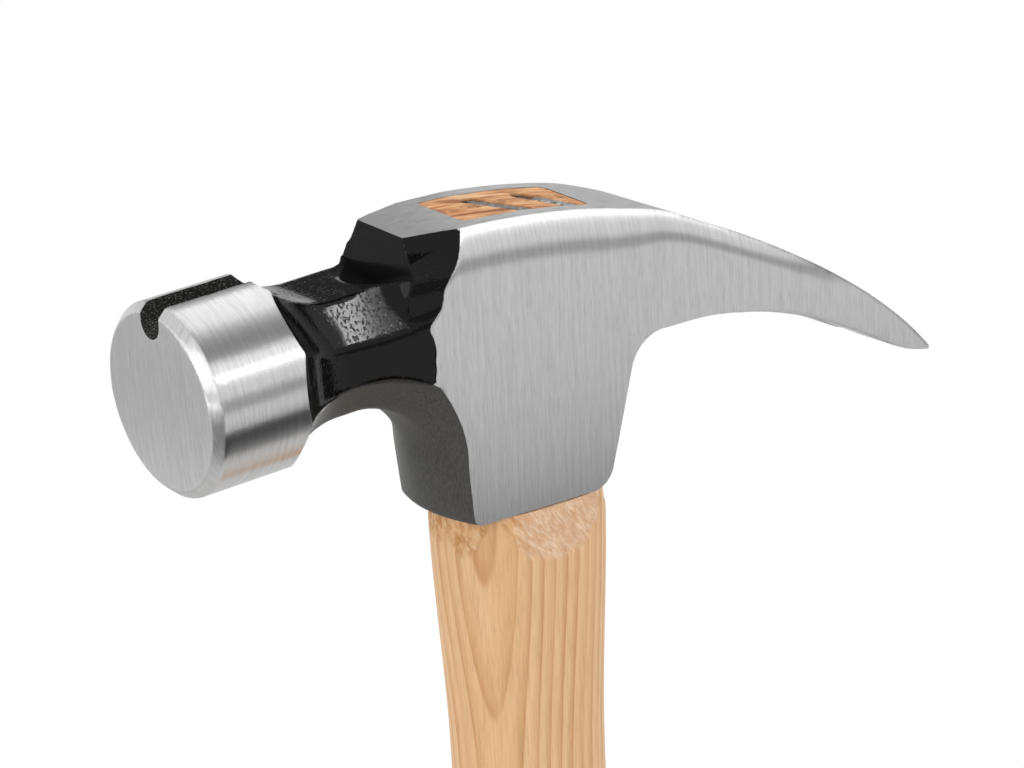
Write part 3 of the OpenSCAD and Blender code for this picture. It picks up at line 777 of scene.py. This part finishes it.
def head_material():
    material, tree, shader = new_material("brushed_steel_and_black_paint")
    place = put(tree, "TexCoord").outputs["Object"]
    sheet = put(tree, "UVMap", uv_map="brushing").outputs[0]
    lines = put(tree, "Group", {"Place": sheet, "Fineness": 1.0}, node_tree=brushing).outputs
    # Paint stops at the ground faces with a slightly ragged edge
    ragged = stretched_noise(tree, place, (900.0, 900.0, 900.0), 3.0)
    ragged = math_node(tree, "SUBTRACT", ragged, 0.5)
    steel = remap(tree, times_add(tree, ragged, 0.05, read_points(tree, "bare")), -0.065, -0.03)
    # Light and dark lines in the grey; the top was ground on a coarser belt, which leaves darker
    # scratches, and its grey is darkened further as painted shade
    grey, light_grey = (0.585, 0.588, 0.588, 1), (0.65, 0.653, 0.65, 1)
    dark_line, light_line = (0.34, 0.34, 0.34, 1), (0.74, 0.74, 0.735, 1)
    top_shade_grey, scratch_grey = (0.31, 0.315, 0.31, 1), (0.17, 0.175, 0.17, 1)
    coarse = read_points(tree, "top_coarse_and_shade")
    tint = layered(
        tree, grey, (remap(tree, lines["Bands"], 0.3, 0.7), light_grey),
        (remap(tree, lines["Lines"], 0.46, 0.74, 0.0, 0.5), dark_line),
        (remap(tree, lines["Lines"], 0.42, 0.26, 0.0, 0.5), light_line),
        (times(tree, coarse, 0.6), top_shade_grey),
        (times(tree, coarse, remap(tree, lines["Lines"], 0.44, 0.64, 0.0, 0.65)), scratch_grey))
    # Under the neck, down the skirt's front and a little in the groove the paint is rougher, and a
    # lighter grey in vertical streaks paints a sheen on it
    dull_and_sheen = read_points(tree, "dull_and_sheen")
    sheen_streaks = stretched_noise(tree, place, (3600.0, 3600.0, 900.0), 3.0)
    sheen_streaks = times(tree, dull_and_sheen, remap(tree, sheen_streaks, 0.3, 0.75, 0.44, 0.68))
    thick_black, sheen_grey = (0.0045, 0.0045, 0.0042, 1), (0.125, 0.122, 0.115, 1)
    black = blend_colour(tree, sheen_streaks, thick_black, sheen_grey)
    # Light grey flecks in the groove's paint stand in for its glints as painted highlights
    pebble = read_points(tree, "pebble")
    worn = stretched_noise(tree, place, (2600.0, 5200.0, 5200.0), 1.0)
    glint_flecks = times(tree, remap(tree, worn, 0.52, 0.72), remap(tree, pebble, 1.5, 4.0))
    black = blend_colour(tree, times(tree, glint_flecks, 0.7), black, (0.26, 0.255, 0.24, 1))
    # Paint dries over the forging's scale in a fine pebble
    swell = stretched_noise(tree, place, (420.0, 420.0, 420.0))
    grit = stretched_noise(tree, place, (2100.0, 2100.0, 1500.0), 1.0)
    speck = times(tree, remap(tree, grit, 0.53, 0.77), 0.36)
    paint_height = times(tree, times_add(tree, swell, 0.15, speck), 2.6)
    paint_height = times(tree, paint_height, pebble)
    # The poll was ground in short strokes that cross each other
    short = stretched_noise(tree, sheet, (5.0, 1.1, 1.0))
    poll = times(tree, read_points(tree, "poll"), 1.6)
    steel_height = times_add(tree, poll, short, lines["Height"])
    height = blend_value(tree, steel, paint_height, steel_height)
    # Brushed metal spreads a reflection across its lines
    tangent = put(tree, "Tangent", direction_type="UV_MAP", uv_map="brushing").outputs[0]
    paint_rough = blend_value(tree, dull_and_sheen, 0.075, 0.42)
    steel_rough = times_add(tree, lines["Lines"], 0.14, 0.25)
    feed(tree, shader, {
        "Base Color": blend_colour(tree, steel, black, tint), "Metallic": steel,
        "Roughness": blend_value(tree, steel, paint_rough, steel_rough),
        "Normal": bump_normal(tree, height, 0.5, 0.00003), "Tangent": tangent,
        "Anisotropic": 0.95, "Specular IOR Level": 0.16})
    return material


head = make_head()
head.data.materials.append(head_material())
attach(head, "root")
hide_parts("head")


# Wooden wedge: a thin slip of hardwood in the saw cut along the tenon. It is driven down to spread
# the tenon in the eye, then ground off flush with the head.
def wedge_solid(name, x, y, z, depth, foot_share):
    """A closed wedge under a grid of top points, thinning to its foot."""
    top = np.stack([x, y, z], axis=-1).reshape(-1, 3)
    faces, rim = grid_faces(*x.shape)
    spine = np.stack([x.mean(axis=1), y.mean(axis=1)], axis=-1)[rim // x.shape[1]]
    foot = top[rim]
    foot[:, :2] = spine + (foot[:, :2] - spine) * foot_share
    foot[:, 2] = HEAD_Z - depth
    points = np.vstack([top, foot])
    low = len(top) + np.arange(len(rim))
    faces += zip(rim, low, np.roll(low, -1), np.roll(rim, -1))
    faces.append(low[::-1])
    # The grid may turn either way round, so the outside is found from its first quad
    first = points[faces[0]]
    if np.cross(first[1] - first[0], first[3] - first[0])[2] < 0:
        faces = [face[::-1] for face in faces]
    piece = mesh_piece(name, points, faces)
    piece.data.shade_smooth()
    piece.data.set_sharp_from_angle(angle=math.radians(40))
    return piece


def make_wooden_wedge():
    rows = np.linspace(-1.0, 1.0, 7)[None, :]
    end = EYE_LEN / 2 - 0.08
    x = np.linspace(-end, end, 90)[:, None] * np.ones(rows.shape)
    y = rows * (1.25 + 0.06 * np.sin(1.7 * x) + 0.04 * np.sin(4.3 * x))
    z = tenon_height(x, y) + 0.03 - SLOT_SINK * wedge_slot(x, y)
    return wedge_solid("driven_wooden_wedge", x, y, z, 32.0, 0.2)


def wedge_wood_material():
    material, tree, shader = new_material("wedge_end_grain")
    place = put(tree, "TexCoord").outputs["Object"]
    wood = put(tree, "Group", {"Place": place, "Pores": 1.0}, node_tree=fibres).outputs
    rows = stretched_noise(tree, place, (900.0, 500.0, 60.0), 3.0)
    brown, orange, pore_brown = (0.36, 0.14, 0.05, 1), (0.76, 0.37, 0.145, 1), (0.2, 0.08, 0.03, 1)
    colour = blend_colour(tree, remap(tree, rows, 0.3, 0.7), brown, orange)
    feed(tree, shader, {
        "Base Color": blend_colour(tree, times(tree, wood["Pores"], 0.6), colour, pore_brown),
        "Roughness": times_add(tree, wood["Streaks"], 0.2, 0.55),
        "Normal": bump_normal(tree, rows, 0.4, 0.0001)})
    return material


wooden_wedge = make_wooden_wedge()
wooden_wedge.data.materials.append(wedge_wood_material())
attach(wooden_wedge, "root")
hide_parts("wood_wedge")


# Steel wedges: two small wedges of mild steel driven askew across the tenon. The front one sits
# deep and dark in its split; the rear one is ground bright with the top over most of its length.
def front_sink(t):
    """Deep all along, most at the start."""
    return 0.24 - 0.10 * t + 0.25 * np.maximum(0.15 - t, 0.0)


def rear_sink(t):
    """Deep at the start, then flush."""
    return 0.42 * smooth_step(t, 0.36, 0.18)


def make_steel_wedge(name, ends, sink):
    """A wedge between two ends, sunk by a depth that changes along it."""
    stations, rows = 60, 9
    start, end = np.array(ends[0]), np.array(ends[1])
    run = end - start
    side = np.array([-run[1], run[0]]) / np.hypot(*run)
    t = np.linspace(0.0, 1.0, stations)[:, None]
    k = np.linspace(-1.0, 1.0, rows)[None, :]
    half = 1.3 * np.minimum(1.0, 6.0 * np.sqrt(np.maximum(np.minimum(t, 1.0 - t), 0.0004)))
    half = half * (1.0 + 0.05 * np.sin(37.0 * t))
    x = start[0] + run[0] * t + side[0] * half * k
    y = start[1] + run[1] * t + side[1] * half * k
    worn = 0.10 * np.abs(k) ** 3 + 0.03 * np.sin(50.0 * t) * np.abs(k)
    piece = wedge_solid(name, x, y, tenon_height(x, y) + 0.05 - sink(t) - worn, 17.0, 0.3)
    sunk = np.zeros(len(piece.data.vertices))
    sunk[:stations * rows] = np.repeat(sink(t), rows)
    point_values(piece, "sunk", sunk)
    return piece


def wedge_steel_material():
    material, tree, shader = new_material("wedge_steel")
    place = put(tree, "TexCoord").outputs["Object"]
    sheet = stretched(tree, place, (100.0, 1000.0, 300.0))
    lines = put(tree, "Group", {"Place": sheet, "Fineness": 1.0}, node_tree=brushing).outputs
    # Ground metal where the wedge stands flush, scale where it lies deep
    patches = stretched_noise(tree, place, (700.0, 700.0, 500.0), 3.0)
    scale = math_node(tree, "ADD", read_points(tree, "sunk"), times_add(tree, patches, 0.7, -0.35))
    scale = remap(tree, scale, 0.10, 0.34)
    bright, grey, rust = (0.42, 0.42, 0.41, 1), (0.26, 0.255, 0.245, 1), (0.075, 0.064, 0.052, 1)
    ground = blend_colour(tree, remap(tree, lines["Lines"], 0.35, 0.7), bright, grey)
    feed(tree, shader, {
        "Base Color": blend_colour(tree, scale, ground, rust),
        "Metallic": remap(tree, scale, 0.0, 1.0, 1.0, 0.6),
        "Roughness": times_add(tree, scale, 0.15, 0.36),
        "Normal": bump_normal(tree, lines["Height"], 0.5, 0.00006)})
    return material


wedge_steel = wedge_steel_material()
for node, ends, sink in [("steel_wedge_front", STEEL_WEDGES[0], front_sink),
                         ("steel_wedge_rear", STEEL_WEDGES[1], rear_sink)]:
    wedge = make_steel_wedge("driven_" + node, ends, sink)
    wedge.data.materials.append(wedge_steel)
    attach(wedge, "root")
    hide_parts(node)


# Magnet: a small nickel-plated disc in the floor of the nail groove, where it holds a nail to start
# it. It is the solid of the frame, pressed and glued into its round seat.
def magnet_material():
    material, tree, shader = new_material("nickel_plate")
    place = put(tree, "TexCoord").outputs["Object"]
    sheet = stretched(tree, place, (1000.0, 1000.0, 1000.0))
    lines = put(tree, "Group", {"Place": sheet, "Fineness": 1.4}, node_tree=brushing).outputs
    worn = remap(tree, stretched_noise(tree, place, (900.0, 900.0, 900.0), 3.0), 0.5, 0.65)
    nickel, dark_nickel = (0.66, 0.64, 0.59, 1), (0.40, 0.385, 0.355, 1)
    feed(tree, shader, {
        "Base Color": blend_colour(tree, worn, nickel, dark_nickel), "Metallic": 1.0,
        "Roughness": times_add(tree, worn, 0.2, 0.2),
        "Normal": bump_normal(tree, lines["Height"], 0.3, 0.00003)})
    return material


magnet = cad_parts["nail_magnet"]
magnet.data.materials.clear()
magnet.data.materials.append(magnet_material())

# Studio: a pale floor under the butt, a white surround, and soft lights above and to both sides.
# A few cards show in the metal only, where they make its dark and pale bands.
FLOOR_R = 0.62
HEAD_MIDDLE = np.array([-0.02, 0.0, 0.39])
AMBIENT = 0.71
CARD_SHADES = {"black": 0.015, "grey": 0.12, "pale": 0.36, "light": 0.70}


def stage_sheet(name, points, material):
    """One flat face through points in metres."""
    sheet = mesh_piece(name, np.asarray(points) / MM, [range(len(points))])
    sheet.data.materials.append(material)
    return sheet


def plain_material(name, level):
    material, tree, shader = new_material(name)
    feed(tree, shader, {"Base Color": (level, level, level, 1), "Roughness": 0.9})
    return material


around = np.linspace(0.0, 2 * np.pi, 96, endpoint=False)
floor_rim = np.column_stack([np.cos(around), np.sin(around), np.zeros(96)]) * FLOOR_R
stage_sheet("studio_floor", floor_rim, plain_material("pale_floor", 0.86))
card_materials = {shade: plain_material(shade + "_card", level)
                  for shade, level in CARD_SHADES.items()}

world = bpy.data.worlds.new("studio")
bpy.context.scene.world = world
world.use_nodes = True
tree = world.node_tree
tree.nodes.clear()
path = put(tree, "LightPath").outputs
seen = math_node(tree, "MAXIMUM", path["Is Camera Ray"], path["Is Glossy Ray"])
seen = math_node(tree, "MAXIMUM", seen, path["Is Transmission Ray"])
background = put(tree, "Background", {
    "Color": (1, 1, 1, 1), "Strength": blend_value(tree, seen, AMBIENT, 1.0)})
tree.links.new(background.outputs[0], put(tree, "OutputWorld").inputs["Surface"])


def round_x(turn, reach, shift=0.0):
    """A place a distance from the head on the right, turned from the front up over the top."""
    a, right, away = math.radians(turn), 0.563, 0.8268
    way = np.array([right, -away * math.cos(a), away * math.sin(a)])
    return HEAD_MIDDLE + way * reach + np.array([shift, 0.0, 0.0])


def reflection_card(name, low, high, across, shade):
    """A card between the middles of two edges. The camera passes it, and it shades nothing."""
    corners = [low - across, low + across, high + across, high - across]
    sheet = stage_sheet(name, corners, card_materials[shade])
    sheet.visible_camera = sheet.visible_diffuse = sheet.visible_shadow = False


def soft_light(name, place, width, height, power):
    """A square-edged light that faces the head."""
    light = bpy.data.lights.new(name, "AREA")
    light.shape = "RECTANGLE"
    light.size, light.size_y, light.energy = width, height, power
    lamp = bpy.data.objects.new(name, light)
    bpy.context.scene.collection.objects.link(lamp)
    lamp.location = place
    aim = Vector(HEAD_MIDDLE - np.asarray(place))
    lamp.rotation_euler = aim.to_track_quat("-Z", "Y").to_euler()
    lamp.visible_camera = False


# Level strips on the right, each between two turns
for name, low, high, reach, width, shade in [
        ("floor_card", -63.0, -32.0, 0.45, 2.0, "black"),
        ("low_card", -11.0, 3.0, 1.0, 1.3, "pale"),
        ("high_card", 46.5, 85.0, 1.0, 1.1, "black"),
        ("back_card", 130.0, 166.0, 1.2, 1.8, "grey")]:
    across = np.array([width / 2, 0.0, 0.0])
    reflection_card(name, round_x(low, reach), round_x(high, reach), across, shade)
# Upright cards that face the head
for name, way, width, height, shade in [
        ("left_card", (-0.618, 0.764, -0.24), 0.8, 0.44, "light"),
        ("front_card", (-0.46, -0.83, -0.316), 0.5, 0.3, "black")]:
    middle = HEAD_MIDDLE + np.array(way)
    across = np.array([way[1], -way[0], 0.0]) / math.hypot(*way[:2]) * width / 2
    tall = np.array([0.0, 0.0, height / 2])
    reflection_card(name, middle - tall, middle + tall, across, shade)
for name, place, width, height, power in [
        ("right_softbox", round_x(37.0, 1.0), 0.6, 0.44, 0.58),
        ("right_lamp", (0.458, -0.775, 0.805), 0.018, 0.10, 0.52),
        ("over_softbox", round_x(114.0, 0.95, 0.25), 0.8, 0.6, 2.6),
        ("left_softbox", (-0.95, -0.30, 0.75), 0.6, 0.6, 2.1),
        ("left_lamp", HEAD_MIDDLE + np.array([-0.936, -0.241, -0.133]), 0.05, 0.05, 0.3)]:
    soft_light(name, place, width, height, power)

# Camera: a long lens from the front left and a little above, as in the photograph.
CAMERA_PLACE = (-0.34198, -0.46407, 0.56683)
RIGHT, UP = (0.79541, -0.60449, -0.04385), (0.22456, 0.22674, 0.94771)
BACK = (-0.56294, -0.76366, 0.31610)
camera_data = bpy.data.cameras.new("photo_camera")
camera_data.sensor_width = 36.0
camera_data.lens = 128.65
camera_data.clip_start = 0.01
camera = bpy.data.objects.new("photo_camera", camera_data)
bpy.context.scene.collection.objects.link(camera)
turn = Matrix((RIGHT, UP, BACK)).transposed().to_4x4()
camera.matrix_world = Matrix.Translation(CAMERA_PLACE) @ turn
bpy.context.scene.camera = camera
bpy.context.scene.view_settings.view_transform = "Standard"
